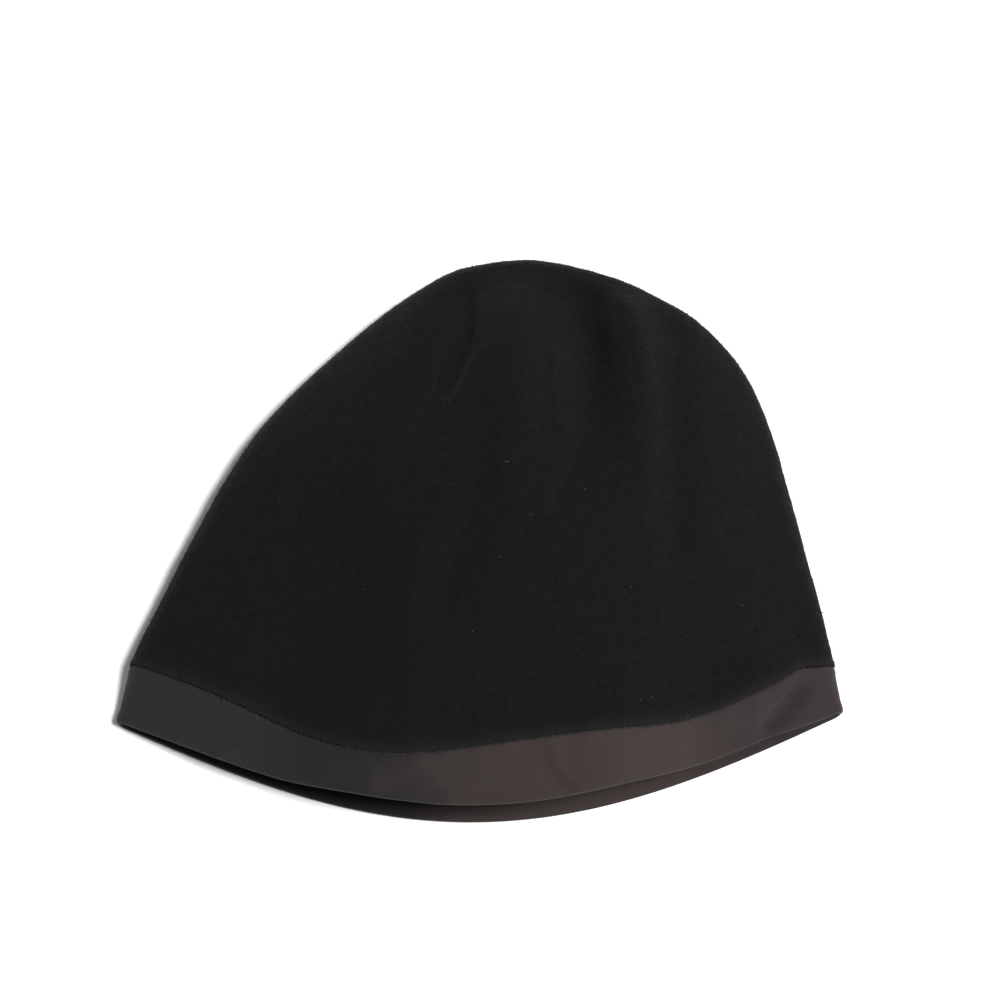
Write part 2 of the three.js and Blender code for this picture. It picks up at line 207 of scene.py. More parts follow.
def section_at(up):
    """Sections: their ends, bow towards the rim, length along the bow, and the shape of their front wall."""
    up = np.asarray(up, float)
    left_x, right_x = (column(SECTIONS, name, up) * RIM_WIDTH for name in ("left_x", "right_x"))
    left_y, right_y = (column(SECTIONS, name, up) * HAT_LENGTH for name in ("left_y", "right_y"))
    bow = (left_y + right_y) / 2 - up * HAT_LENGTH
    chord_squared = (right_x - left_x) ** 2 + (right_y - left_y) ** 2
    return SimpleNamespace(
        left_x=left_x,
        left_y=left_y,
        right_x=right_x,
        right_y=right_y,
        bow=bow,
        length=np.sqrt(chord_squared + math.pi**2 / 2 * bow**2),
        radius=column(EDGE_RADII, "radius", up),
        rise=column(SECTIONS, "rise", up) * LOFT,
        round=column(SECTIONS, "round", up),
        left_dart=column(SECTIONS, "left_dart", up),
        right_dart=column(SECTIONS, "right_dart", up),
    )


def plan_at(section, across):
    """Where a place across a section lies on the plan."""
    circular = (1 - np.cos(math.pi * across)) / 2
    share = across + (circular - across) * section.round
    x = section.left_x + (section.right_x - section.left_x) * share
    y = section.left_y + (section.right_y - section.left_y) * across - section.bow * np.sin(math.pi * across)
    return x, y


def fold_sink(folds, x, y):
    """How far a table of folds sinks the wall at places on the plan."""
    total = 0
    for from_across, from_up, to_across, to_up, bend, width, sink in zip(*folds.values()):
        from_x, from_y = plan_at(section_at(from_up), from_across)
        to_x, to_y = plan_at(section_at(to_up), to_across)
        run_x, run_y = to_x - from_x, to_y - from_y
        length = math.hypot(run_x, run_y)
        along = ((x - from_x) * run_x + (y - from_y) * run_y) / length**2
        bent = bend * RIM_WIDTH * 4 * along * (1 - along)
        aside = ((x - from_x) * run_y - (y - from_y) * run_x) / length - bent
        beyond = (along - np.clip(along, 0, 1)) * length
        reach = width * RIM_WIDTH
        total = total + sink * LOFT * bell(aside, reach) * bell(beyond, FOLD_END * reach)
    return total


def wave_of(waves, name, across):
    """The sum of a table's waves at a share across."""
    rows = zip(waves["across"], waves["reach"], waves[name])
    return sum(size * bell(across - at, reach) for at, reach, size in rows)


def across_at(section, turn):
    """How far across a section a turn lies."""
    half = np.minimum(turn, 1 - turn)
    edge = np.minimum(section.radius / section.length, EDGE_LIMIT)
    near = np.minimum(half, 0.5 - half)
    within = edge * (1 - np.cos(near / EDGE_TURN * math.pi / 2))
    stops = (EDGE_TURN, *DART_TURNS, 0.5 - EDGE_TURN)
    shares = (edge, section.left_dart, section.right_dart, 1 - edge)
    across = np.where(half < 0.25, within, 1 - within)
    for start, end, low, high in zip(stops, stops[1:], shares, shares[1:]):
        inside = (half >= start) & (half <= end)
        across = np.where(inside, low + (high - low) * (half - start) / (end - start), across)
    return across


def smooth_point(up, turn):
    """The hat's outer face before its darts are drawn in."""
    section = section_at(up)
    across = across_at(section, turn)
    x, y = plan_at(section, across)
    radius = section.radius
    inward = section.length / math.pi * np.sin(math.pi * across)
    edge = np.sqrt(radius**2 - (radius - np.minimum(inward, radius)) ** 2)
    lift = LOFT * wave_of(RIM_WAVES, "lift", across) * bell(up, RIM_WAVE_REACH)
    drape = smoothstep(inward, radius, DRAPE_REACH * radius) * (lift - fold_sink(BROAD_FOLDS, x, y))
    front = radius + edge + section.rise * 4 * across * (1 - across) + drape
    z = np.where(turn <= 0.5, front, radius - edge)
    return np.stack(np.broadcast_arrays(x, y, z), axis=-1)


def outward_at(up, turn):
    """The outward direction of that face, from its slopes both ways over a small step."""
    level = np.clip(up, SLOPE_STEP, 1 - SLOPE_STEP)
    along = smooth_point(level + SLOPE_STEP, turn) - smooth_point(level - SLOPE_STEP, turn)
    around = smooth_point(level, (turn + SLOPE_STEP) % 1) - smooth_point(level, (turn - SLOPE_STEP) % 1)
    outward = np.cross(around, along)
    return outward / np.linalg.norm(outward, axis=-1, keepdims=True)


def groove_at(up, turn):
    """How deep the darts' grooves are."""
    section = section_at(up)
    across = across_at(section, turn)
    total = 0
    for dart in DARTS:
        aside = np.abs(across - getattr(section, dart["line"])) * section.length
        depth = np.where(turn <= 0.5, dart["front_depth"], dart["back_depth"]) * LOFT
        along = smoothstep(up, dart["foot"], dart["full"]) * (1 - smoothstep(up, dart["full"], 1))
        rounded = np.hypot(aside, DART_ROUNDING * LOFT)
        total = total + depth * along * np.exp(-rounded / (dart["width"] * LOFT))
    return total


# Finer relief of the cloth, on top of the part's own folds.

NOISE_CELLS = 32  # the noise repeats after this many cells


def value_noise(points, cell, seed):
    """Smooth noise from -1 to 1 at points, with one random value for each cell."""
    values = np.random.default_rng(seed).uniform(-1, 1, (NOISE_CELLS,) * 3)
    place = points / cell
    base = np.floor(place).astype(int)
    t = place - base
    t = t * t * (3 - 2 * t)
    total = 0
    for corner in np.ndindex(2, 2, 2):
        weight = np.prod(np.where(corner, t, 1 - t), axis=-1)
        i, j, k = np.moveaxis((base + corner) % NOISE_CELLS, -1, 0)
        total = total + weight * values[i, j, k]
    return total


# Narrow folds of the fleece, in the columns of BROAD_FOLDS.
FINE_FOLDS = table(FOLD_COLUMNS, [
    (0.268, 0.83, 0.31, 0.68, -0.004, 0.014, 0.05),  # crease of the left dart
    (0.287, 0.83, 0.329, 0.68, -0.004, 0.024, -0.05),  # swell right of it
    (0.272, 0.745, 0.31, 0.55, 0, 0.006, 0.016),  # second line of the left dart
    (0.62, 0.8, 0.595, 0.7, 0, 0.03, 0.06),  # the deepest part of the right dart's hollow
    (0.52, 0.76, 0.548, 0.61, 0, 0.006, -0.028),  # short ridge between the darts
    (0.545, 0.76, 0.564, 0.6, 0, 0.006, -0.022),  # short ridge beside it
    (0.598, 0.56, 0.574, 0.485, 0, 0.007, 0.035),  # short crease below the right dart
    (0.8, 0.82, 0.725, 0.66, 0, 0.014, -0.015),  # ridge on the right
    (0.27, 0.35, 0.28, 0.26, 0, 0.04, 0.03),  # dimple at the lower left
])

# Creases and dents of the band, in the same columns.
BAND_CREASES = table(FOLD_COLUMNS, [
    (0.597, 0.07, 0.63, 0.012, 0.006, 0.006, -0.014),  # light fold right of the middle
    (0.58, 0.058, 0.604, 0.02, 0, 0.014, 0.01),  # hollow beside it
    (0.93, 0.058, 0.897, 0.03, 0, 0.013, 0.12),  # dent near the right corner
    (0.922, 0.07, 0.884, 0.034, 0, 0.009, -0.02),  # fold beside the dent
    (0.145, 0.002, 0.171, 0.021, 0, 0.004, -0.022),  # small crease on the left
])

# Low rolls that run along the seam and the rim, in millimetres. rise is how far a roll's middle lies above
# the seam or the rim, height is how far it stands out, and reach says how broad it is.
RIM_ROLL = {"rise": 2.4, "height": 0.4, "reach": 2.6}
BAND_ROLL = {"rise": -2, "height": 0.35, "reach": 1.1}
LIP_ROLL = {"rise": 1.6, "height": 0.3, "reach": 1.6}
STITCHED_LINE = {"rise": 3.6, "height": -0.25, "reach": 0.8}

CLOTH_WAVES = ((38, 0.35, 11), (14, 0.16, 12))  # cell, height and seed of the cloth's slow unevenness
NAP_WAVES = ((3.2, 0.1, 21), (1.6, 0.08, 22))  # the same for the clumps of the nap
KNIT_WAVES = ((9, 0.14, 31), (3.5, 0.05, 32))  # the same for the band
PUCKER_PITCH = 5.5  # puckers where the band draws the seam in
PUCKER_HEIGHT = 0.3
PUCKER_REACH = 9  # they die away over this height above and below the seam
PUCKER_STRETCH = 0.15  # how fast they change along their length, against across it
PUCKER_SEED = 41
BACK_RELIEF = 0.15  # share of the relief left in the wall that the hat lies on
EDGE_MARGIN = (2, 12)  # narrow folds fade in between these distances from the folded edge

CROWN_RELIEF = SimpleNamespace(
    folds=FINE_FOLDS,
    waves=NAP_WAVES,
    seam_rolls=(LIP_ROLL, STITCHED_LINE),
    rim_rolls=(),
)
BAND_RELIEF = SimpleNamespace(
    folds=BAND_CREASES,
    waves=KNIT_WAVES,
    seam_rolls=(BAND_ROLL,),
    rim_rolls=(RIM_ROLL,),
)


def rough(points, waves):
    """The height of several noises together."""
    return sum(height * value_noise(points, cell, seed) for cell, height, seed in waves)


def rolls_at(rolls, height):
    """How far low rolls stand out at a height, in millimetres."""
    return sum(roll["height"] * bell(height - roll["rise"], roll["reach"]) for roll in rolls)


def relief_at(up, turn, points, relief):
    """How far the cloth stands out from the part's smooth face."""
    section = section_at(up)
    across = across_at(section, turn)
    above_seam = (up - seam_at(turn)) * HAT_LENGTH
    rolls = rolls_at(relief.seam_rolls, above_seam) + rolls_at(relief.rim_rolls, up * HAT_LENGTH)
    gathers = value_noise(points * (1, PUCKER_STRETCH, 0), PUCKER_PITCH, PUCKER_SEED)
    pucker = bell(above_seam, PUCKER_REACH) * gathers
    uneven = rough(points, CLOTH_WAVES) + rough(points, relief.waves) + PUCKER_HEIGHT * pucker
    clear_of_edge = smoothstep(across * (1 - across) * section.length, *EDGE_MARGIN)
    folded = clear_of_edge * fold_sink(relief.folds, points[..., 0], points[..., 1])
    return np.where(turn <= 0.5, rolls + uneven - folded, BACK_RELIEF * uneven)


def wall_point(up, turn, depth, relief):
    """A point of the cloth, depth inside its outer face and no lower than it can lie."""
    points = smooth_point(up, turn)
    out = relief_at(up, turn, points, relief) - groove_at(up, turn) - depth
    placed = points + outward_at(up, turn) * np.asarray(out)[..., None]
    placed[..., 2] = np.maximum(placed[..., 2], depth)
    return placed


def seam_at(turn):
    """Where the seam runs round the hat, as a share up: straight at the back and wavy at the front."""
    across = across_at(section_at(np.full_like(turn, BAND_TOP)), turn)
    return np.where(turn > 0.5, BAND_TOP, BAND_TOP * (1 - wave_of(SEAM_WAVES, "drop", across)))


def from_seam(turn, rise):
    """A height above or below the seam, given in millimetres."""
    return seam_at(turn) + rise / HAT_LENGTH


def half_turns(facets):
    """The turns across one wall, from its folded edge on the left to just before the one on the right."""
    stops = (0, EDGE_TURN, *DART_TURNS, 0.5 - EDGE_TURN, 0.5)
    counts = (EDGE_FACETS, *facets, EDGE_FACETS)
    spans = zip(stops, stops[1:], counts)
    return np.concatenate([np.linspace(start, end, count, endpoint=False) for start, end, count in spans])


def all_turns():
    """The turns where every ring has its points."""
    back = 1 - half_turns(BACK_FACETS)[1:]
    return np.concatenate([half_turns(FRONT_FACETS), [0.5], np.sort(back)])


TURNS = all_turns()


# Meshes.


def skin(rings, heights=None):
    """The points, faces and corner places of a body skinned over rings.

    Rings of one point close its ends, and without them the last ring meets the first. Corner places say
    how far round the hat and how high up the corners of a face lie, in millimetres.
    """
    starts = np.cumsum([0] + [len(ring) for ring in rings])
    capped = len(rings[0]) == 1
    count = len(TURNS)
    k = np.arange(count)
    faces, places = [], []
    around = np.append(TURNS, 1) * 2 * RIM_WIDTH
    heights = heights or [0] * len(rings)
    for low in range(len(rings) - 1 if capped else len(rings)):
        high = (low + 1) % len(rings)
        a, b = starts[low] + k, starts[low] + (k + 1) % count
        d, c = starts[high] + k, starts[high] + (k + 1) % count
        if len(rings[low]) == 1:
            faces += np.stack([np.full(count, starts[low]), c, d], axis=1).tolist()
            continue
        if len(rings[high]) == 1:
            faces += np.stack([a, b, np.full(count, starts[high])], axis=1).tolist()
            continue
        faces += np.stack([a, b, c, d], axis=1).tolist()
        corners = [(k, low), (k + 1, low), (k + 1, high), (k, high)]
        places.append(np.stack([np.stack([around[i], np.full(count, heights[r])], 1) for i, r in corners], 1))
    return np.vstack(rings), faces, np.concatenate(places).reshape(-1, 2)


def in_frame(points):
    """Points of the plan, in millimetres, put where the part's frame has them, in metres."""
    rim = section_at(0)
    middle = (CAD_LOW.x + CAD_HIGH.x) / 2 - (rim.left_x + rim.right_x) / 2 * MM
    return points * MM + np.array((middle, CAD_LOW.y, CAD_LOW.z))


def add_mesh(name, points, faces, material):
    """An object with a smooth-shaded mesh, at the origin."""
    mesh = bpy.data.meshes.new(name)
    mesh.from_pydata(points.tolist(), [], faces)
    mesh.update()
    mesh.polygons.foreach_set("use_smooth", np.ones(len(mesh.polygons), bool))
    mesh.materials.append(material)
    piece = bpy.data.objects.new(name, mesh)
    bpy.context.scene.collection.objects.link(piece)
    return piece


def give_floats(mesh, name, values):
    """Gives a mesh's points a named number each."""
    attribute = mesh.attributes.new(name, "FLOAT", "POINT")
    attribute.data.foreach_set("value", values.astype(np.float32))


def give_vectors(mesh, name, vectors):
    """Gives a mesh's points a named direction each."""
    attribute = mesh.attributes.new(name, "FLOAT_VECTOR", "POINT")
    attribute.data.foreach_set("vector", vectors.astype(np.float32).ravel())


def ride_root(piece, slot, *nodes):
    """Puts a piece on the hat's one body and hides the parts that it stands for. Its slot is not used."""
    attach(piece, "root")
    if nodes:
        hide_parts(*nodes)


# Materials.


def set_input(tree, socket, value):
    """Sets an input to a value, or links another node's output to it."""
    if isinstance(value, bpy.types.NodeSocket):
        tree.links.new(value, socket)
    else:
        socket.default_value = value


def add_node(tree, kind, inputs=None, **settings):
    """A node with its settings, and its inputs set to values or linked to other nodes' outputs."""
    node = tree.nodes.new(kind)
    for name, value in settings.items():
        setattr(node, name, value)
    for name, value in (inputs or {}).items():
        set_input(tree, node.inputs[name], value)
    return node


def new_material(name, constants):
    """A material with one Principled shader, and that shader."""
    material = bpy.data.materials.new(name)
    material.use_nodes = True
    shader = material.node_tree.nodes["Principled BSDF"]
    for socket, value in constants.items():
        shader.inputs[socket].default_value = value
    return material, shader


def noise_at(tree, place, cell, detail=2.0):
    """A noise with cells of a size in metres."""
    inputs = {"Vector": place, "Scale": 1 / cell, "Detail": detail}
    return add_node(tree, "ShaderNodeTexNoise", inputs).outputs["Fac"]


def ramp(tree, factor, low, high, start=0.3, end=0.7):
    """A colour that runs from low to high as a factor runs from start to end."""
    return colours_at(tree, factor, ((start, low), (end, high)))


def colours_at(tree, factor, stops):
    """A colour that runs through several stops: positions from 0 to 1 with their colours."""
    node = add_node(tree, "ShaderNodeValToRGB", {"Fac": factor})
    elements = node.color_ramp.elements
    while len(elements) < len(stops):
        elements.new(0.5)
    for element, (position, colour) in zip(elements, stops):
        element.position = position
        element.color = (*colour, 1)
    return node.outputs["Color"]


def mixed(tree, factor, first, second):
    """A colour that runs from the first to the second as a factor runs from 0 to 1."""
    node = add_node(tree, "ShaderNodeMix", data_type="RGBA")
    sockets = {socket.name: socket for socket in node.inputs if socket.enabled}
    for name, value in (("Factor", factor), ("A", first), ("B", second)):
        set_input(tree, sockets[name], value)
    return next(socket for socket in node.outputs if socket.enabled)


def bump_of(tree, height, distance, strength, normal=None):
    """A bump of a height field. distance is in metres."""
    inputs = {"Height": height, "Distance": distance, "Strength": strength}
    if normal:
        inputs["Normal"] = normal
    return add_node(tree, "ShaderNodeBump", inputs).outputs["Normal"]


FLEECE_DARK = (0.0048, 0.0048, 0.0048)
FLEECE_LIGHT = (0.0063, 0.0063, 0.0063)
FLEECE_PAINTED_EDGE_LIGHT = (0.0095, 0.0093, 0.0093)  # painted light along the crown's lower edge, which lifts the shade that falls under its lip
PAINTED_EDGE_LIGHT_STRIP = 3  # and how broad it is, in millimetres
CLUMP_CELL = 2.4 * MM  # of the nap's clumps
PILE_CELL = 0.55 * MM  # of single tufts


def fleece_material():
    """Black fleece: uneven short nap that scatters light at its edges, with painted light along the crown's
    lower edge.
    """
    constants = {
        "Roughness": 1,
        "Specular IOR Level": 0.06,
        "Sheen Weight": 0.08,
        "Sheen Roughness": 0.45,
        "Sheen Tint": (0.5, 0.5, 0.5, 1),
    }
    material, shader = new_material("fleece", constants)
    tree = material.node_tree
    place = add_node(tree, "ShaderNodeTexCoord").outputs["Object"]
    clumps = noise_at(tree, place, CLUMP_CELL, detail=4)
    pile = noise_at(tree, place, PILE_CELL)
    # painted light along the crown's lower edge, mixed into the nap's colour by the mesh's edge share
    painted_edge_light = add_node(tree, "ShaderNodeAttribute", attribute_name="edge").outputs["Fac"]
    nap = ramp(tree, clumps, FLEECE_DARK, FLEECE_LIGHT)
    tree.links.new(mixed(tree, painted_edge_light, nap, (*FLEECE_PAINTED_EDGE_LIGHT, 1)), shader.inputs["Base Color"])
    clumped = bump_of(tree, clumps, distance=0.5 * MM, strength=0.5)
    tufted = bump_of(tree, pile, distance=0.25 * MM, strength=0.6, normal=clumped)
    tree.links.new(tufted, shader.inputs["Normal"])
    return material


# Lit and shaded copies of the knit's dark taupe: painted light and painted shade.
KNIT_PAINTED_SHADE_LEFT = (0.0142, 0.0129, 0.0132)
KNIT_PAINTED_SHADE_DEEP = (0.0101, 0.0092, 0.0094)
KNIT_PAINTED_LIGHT_MID = (0.0248, 0.0187, 0.0179)
KNIT_PAINTED_LIGHT_BRIGHT = (0.029, 0.0216, 0.0208)
KNIT_PAINTED_SHADE_RIGHT = (0.0192, 0.0141, 0.0144)
# Painted shade and light over the rim's width: shaded on the left, lit to the right of the middle, and shaded
# again towards the right corner.
KNIT_PAINTED_SHADE_STOPS = ((0.1, KNIT_PAINTED_SHADE_LEFT), (0.37, KNIT_PAINTED_SHADE_DEEP), (0.47, KNIT_PAINTED_LIGHT_MID), (0.76, KNIT_PAINTED_LIGHT_BRIGHT), (0.9, KNIT_PAINTED_SHADE_RIGHT))
PAINTED_SHADE_JITTER = 0.2 * RIM_WIDTH * MM  # how far a slow noise moves the stops of the painted shade
WAVE_SCALE = math.tau / 20  # gives the wave texture one wave for each unit
WALE_PITCH = 0.6 * MM
COURSE_PITCH = 0.5 * MM
SHADE_CELL = 16 * MM


def knit_material():
    """Dark taupe stretch knit with fine upright wales, with painted shade on its left side and painted light
    on its right.
    """
    constants = {
        "Roughness": 0.85,
        "Specular IOR Level": 0.16,
        "Sheen Weight": 0.1,
        "Sheen Roughness": 0.5,
        "Sheen Tint": (0.7, 0.65, 0.63, 1),
    }
    material, shader = new_material("band knit", constants)
    tree = material.node_tree
    place = add_node(tree, "ShaderNodeTexCoord").outputs["Object"]
    lay = add_node(tree, "ShaderNodeUVMap", uv_map="around").outputs["UV"]
    shade = noise_at(tree, place, SHADE_CELL, detail=3)
    across = add_node(tree, "ShaderNodeSeparateXYZ", {"Vector": place}).outputs["X"]
    inputs = {0: shade, 1: PAINTED_SHADE_JITTER, 2: across}
    uneven = add_node(tree, "ShaderNodeMath", inputs, operation="MULTIPLY_ADD").outputs[0]
    half = RIM_WIDTH / 2 * MM
    ends = {"Value": uneven, "From Min": PAINTED_SHADE_JITTER / 2 - half, "From Max": PAINTED_SHADE_JITTER / 2 + half}
    share = add_node(tree, "ShaderNodeMapRange", ends).outputs["Result"]
    # base colour: painted shade and light across the band, by its place along X
    tree.links.new(colours_at(tree, share, KNIT_PAINTED_SHADE_STOPS), shader.inputs["Base Color"])
    pitches = {"Vector": lay, "Scale": (MM / WALE_PITCH, MM / COURSE_PITCH, 1)}
    counted = add_node(tree, "ShaderNodeMapping", pitches).outputs["Vector"]
    loops = {"Vector": counted, "Scale": WAVE_SCALE, "Distortion": 0.6, "Detail": 1, "Detail Scale": 1.5}
    wales = add_node(tree, "ShaderNodeTexWave", loops, bands_direction="X").outputs["Fac"]
    courses = add_node(tree, "ShaderNodeTexWave", loops, bands_direction="Y").outputs["Fac"]
    ribbed = bump_of(tree, wales, distance=0.04 * MM, strength=0.35)
    looped = bump_of(tree, courses, distance=0.03 * MM, strength=0.3, normal=ribbed)
    fuzz = noise_at(tree, place, PILE_CELL)
    fuzzy = bump_of(tree, fuzz, distance=0.08 * MM, strength=0.5, normal=looped)
    tree.links.new(fuzzy, shader.inputs["Normal"])
    return material


PALE_THREAD = (0.03, 0.028, 0.0275)
DARK_THREAD = (0.011, 0.011, 0.011)
LOOSE_FIBRES = (0.013, 0.0127, 0.0127)
PALE_LINT = (0.12, 0.12, 0.12)
DYE_CELL = 2 * MM
DYE_DARKEST = 0.7  # share of the colour where the dye is darkest


def fibre_material(name, colour):
    """Thread or loose fibres, in an uneven shade of one colour."""
    constants = {"Roughness": 0.8, "Specular IOR Level": 0.2}
    material, shader = new_material(name, constants)
    tree = material.node_tree
    place = add_node(tree, "ShaderNodeTexCoord").outputs["Object"]
    shade = noise_at(tree, place, DYE_CELL)
    dark = tuple(DYE_DARKEST * part for part in colour)
    tree.links.new(ramp(tree, shade, dark, colour), shader.inputs["Base Color"])
    return material


SHEET_DARK = (0.93, 0.93, 0.93)
SHEET_LIGHT = (0.95, 0.95, 0.95)
SHEET_CELL = 0.4


def floor_material():
    """A plain white sheet."""
    material, shader = new_material("white sheet", {"Roughness": 0.9, "Specular IOR Level": 0.1})
    tree = material.node_tree
    place = add_node(tree, "ShaderNodeTexCoord").outputs["Object"]
    shade = noise_at(tree, place, SHEET_CELL)
    tree.links.new(ramp(tree, shade, SHEET_DARK, SHEET_LIGHT), shader.inputs["Base Color"])
    return material


# The pieces of cloth.


def fleece_crown(material):
    """The crown: its inner face from the top down, its rounded lower edge, and its outer face back up."""
    shares = np.arange(CROWN_ROWS) / CROWN_ROWS
    top_edge = TOP_EDGE_RADII * (CROWN_WALL + TOP_FOLD) / HAT_LENGTH
    over_top = 1 - top_edge * (1 - np.sin(np.arange(TOP_ROWS) / TOP_ROWS * math.pi / 2))
    levels = np.concatenate([shares * (1 - top_edge), over_top])
    start = from_seam(TURNS, SEAM_CLEARANCE + LIP_ROUNDING)

    def ring(share, depth):
        return wall_point(start + (1 - start) * share, TURNS, depth, CROWN_RELIEF)

    def lip_ring(angle):
        rise = SEAM_CLEARANCE + LIP_ROUNDING * (1 - math.sin(angle))
        return wall_point(from_seam(TURNS, rise), TURNS, LIP_ROUNDING * (1 - math.cos(angle)), CROWN_RELIEF)

    inner = [ring(share, CROWN_WALL) for share in levels[::-INNER_STEP]]
    under = wall_point(from_seam(TURNS, SEAM_CLEARANCE), TURNS, CROWN_WALL, CROWN_RELIEF)
    lip = [lip_ring(angle) for angle in np.linspace(math.pi / 2, 0, LIP_FACETS + 1)[:-1]]
    outer = [ring(share, 0) for share in levels]
    top = smooth_point(np.array([1.0]), np.array([0.0]))
    rings = [top - (0, CROWN_WALL, 0), *inner, under, *lip, *outer, top]
    points, faces, _ = skin(rings)
    crown = add_mesh("fleece_crown", in_frame(points), faces, material)
    outside = np.zeros(len(points))
    outside[-1 - len(outer) * len(TURNS) :] = 1
    give_floats(crown.data, "outside", outside)
    # mask of the painted light along the crown's lower edge
    give_floats(crown.data, "edge", painted_edge_light_share(rings))
    return crown


def painted_edge_light_share(rings):
    """How near each point of the crown's rings lies to its lower edge: 1 there, and less further off. It
    masks the painted light along that edge.
    """
    edge = wall_point(from_seam(TURNS, SEAM_CLEARANCE), TURNS, 0, CROWN_RELIEF)

    def share(ring):
        if len(ring) == 1:
            return np.zeros(1)
        return bell(np.linalg.norm(ring - edge, axis=1), PAINTED_EDGE_LIGHT_STRIP)

    return np.concatenate([share(ring) for ring in rings])


def stretch_band(material):
    """The band: a strip folded at the rim, whose upper edges turn in under the crown."""
    inner_face = BAND_SET_BACK + BAND_WALL
    inner_tuck = TUCK + BAND_WALL
    bend = BAND_WALL / 2
    shares = np.linspace(0, 1, BAND_ROWS)
    rings, heights = [], []

    def ring(up, depth):
        rings.append(wall_point(np.broadcast_to(up, TURNS.shape), TURNS, depth, BAND_RELIEF))
        heights.append(float(np.mean(up)) * HAT_LENGTH)

    def face(drop, depth, levels):
        for share in levels:
            low, high = bend / HAT_LENGTH, from_seam(TURNS, -drop)
            ring(low + (high - low) * share, depth)

    face(SHOULDER_DROP, BAND_SET_BACK, shares)
    for angle in np.linspace(0, math.pi / 2, SHOULDER_FACETS + 1)[1:]:
        drop = SHOULDER_DROP * (1 - math.sin(angle))
        ring(from_seam(TURNS, -drop), BAND_SET_BACK + (TUCK - BAND_SET_BACK) * (1 - math.cos(angle)))
    for rise in (SEAM_ALLOWANCE / 2, SEAM_ALLOWANCE):
        ring(from_seam(TURNS, rise), TUCK)
    for rise in (SEAM_ALLOWANCE, SEAM_ALLOWANCE / 2, -INNER_DROP / 4):
        ring(from_seam(TURNS, rise), inner_tuck)
    face(INNER_DROP, inner_face, shares[::-INNER_STEP])
    for angle in np.linspace(0, math.pi, RIM_FACETS + 1)[1:-1]:
        ring(bend * (1 - math.sin(angle)) / HAT_LENGTH, BAND_SET_BACK + bend + bend * math.cos(angle))
    points, faces, places = skin(rings, heights)
    piece = add_mesh("stretch_band", in_frame(points), faces, material)
    layer = piece.data.uv_layers.new(name="around")
    layer.data.foreach_set("uv", places.ravel())
    return piece


# What repeats over the cloth, made by Geometry Nodes.


def new_tree(name, inputs):
    """A Geometry Nodes tree with named inputs, and its first and last nodes."""
    tree = bpy.data.node_groups.new(name, "GeometryNodeTree")
    tree.interface.new_socket("Geometry", in_out="INPUT", socket_type="NodeSocketGeometry")
    for socket, kind in inputs.items():
        tree.interface.new_socket(socket, in_out="INPUT", socket_type=kind)
    tree.interface.new_socket("Geometry", in_out="OUTPUT", socket_type="NodeSocketGeometry")
    return tree, tree.nodes.new("NodeGroupInput").outputs, tree.nodes.new("NodeGroupOutput").inputs


def end_tree(tree, instances, material, end):
    """Makes the instances real, gives them their material and ends the tree."""
    real = add_node(tree, "GeometryNodeRealizeInstances", {"Geometry": instances})
    inputs = {"Geometry": real.outputs["Geometry"], "Material": material}
    dressed = add_node(tree, "GeometryNodeSetMaterial", inputs)
    tree.links.new(dressed.outputs["Geometry"], end["Geometry"])


def grown(name, mesh, tree, values):
    """A piece with the plain mesh that a tree makes on a mesh."""
    base = bpy.data.objects.new(name + " base", mesh)
    bpy.context.scene.collection.objects.link(base)
    modifier = base.modifiers.new(tree.name, "NODES")
    modifier.node_group = tree
    for item in tree.interface.items_tree:
        if item.in_out == "INPUT" and item.name in values:
            modifier[item.identifier] = values[item.name]
    evaluated = base.evaluated_get(bpy.context.evaluated_depsgraph_get())
    piece = bpy.data.objects.new(name, bpy.data.meshes.new_from_object(evaluated))
    bpy.context.scene.collection.objects.link(piece)
    bpy.data.objects.remove(base)
    return piece


def random_between(tree, start, least, most):
    """A random number for each point."""
    limits = {2: least, 3: most, "Seed": start["Seed"]}
    return add_node(tree, "FunctionNodeRandomValue", limits, data_type="FLOAT").outputs[1]


FIBRE_INPUTS = {
    "Fibre Length": "NodeSocketFloat",
    "Fibre Radius": "NodeSocketFloat",
    "Lean": "NodeSocketFloat",
    "Seed": "NodeSocketInt",
    "Material": "NodeSocketMaterial",
}
SHORTEST_NAP = 0.5  # shares of the fibre length
SHORTEST_FRINGE = 0.3
LONGEST_FIBRE = 1.2


def end_with_fibres(tree, start, end, points, straight, shortest):
    """Ends a tree with tapered fibres on points, which lean at random away from straight."""
    shape = {
        "Vertices": 3,
        "Side Segments": 1,
        "Radius Top": 0,
        "Radius Bottom": start["Fibre Radius"],
        "Depth": start["Fibre Length"],
    }
    fibre = add_node(tree, "GeometryNodeMeshCone", shape, fill_type="NGON").outputs["Mesh"]
    every_way = {0: (-1, -1, -1), 1: (1, 1, 1), "Seed": start["Seed"]}
    random = add_node(tree, "FunctionNodeRandomValue", every_way, data_type="FLOAT_VECTOR").outputs[0]
    leaning = {0: random, "Scale": start["Lean"]}
    lean = add_node(tree, "ShaderNodeVectorMath", leaning, operation="SCALE").outputs[0]
    both = {0: straight, 1: lean}
    direction = add_node(tree, "ShaderNodeVectorMath", both, operation="ADD").outputs[0]
    turned = add_node(tree, "FunctionNodeAlignRotationToVector", {"Vector": direction}, axis="Z")
    placed = {
        "Points": points,
        "Instance": fibre,
        "Rotation": turned.outputs["Rotation"],
        "Scale": random_between(tree, start, shortest, LONGEST_FIBRE),
    }
    fibres = add_node(tree, "GeometryNodeInstanceOnPoints", placed)
    end_tree(tree, fibres.outputs["Instances"], start["Material"], end)


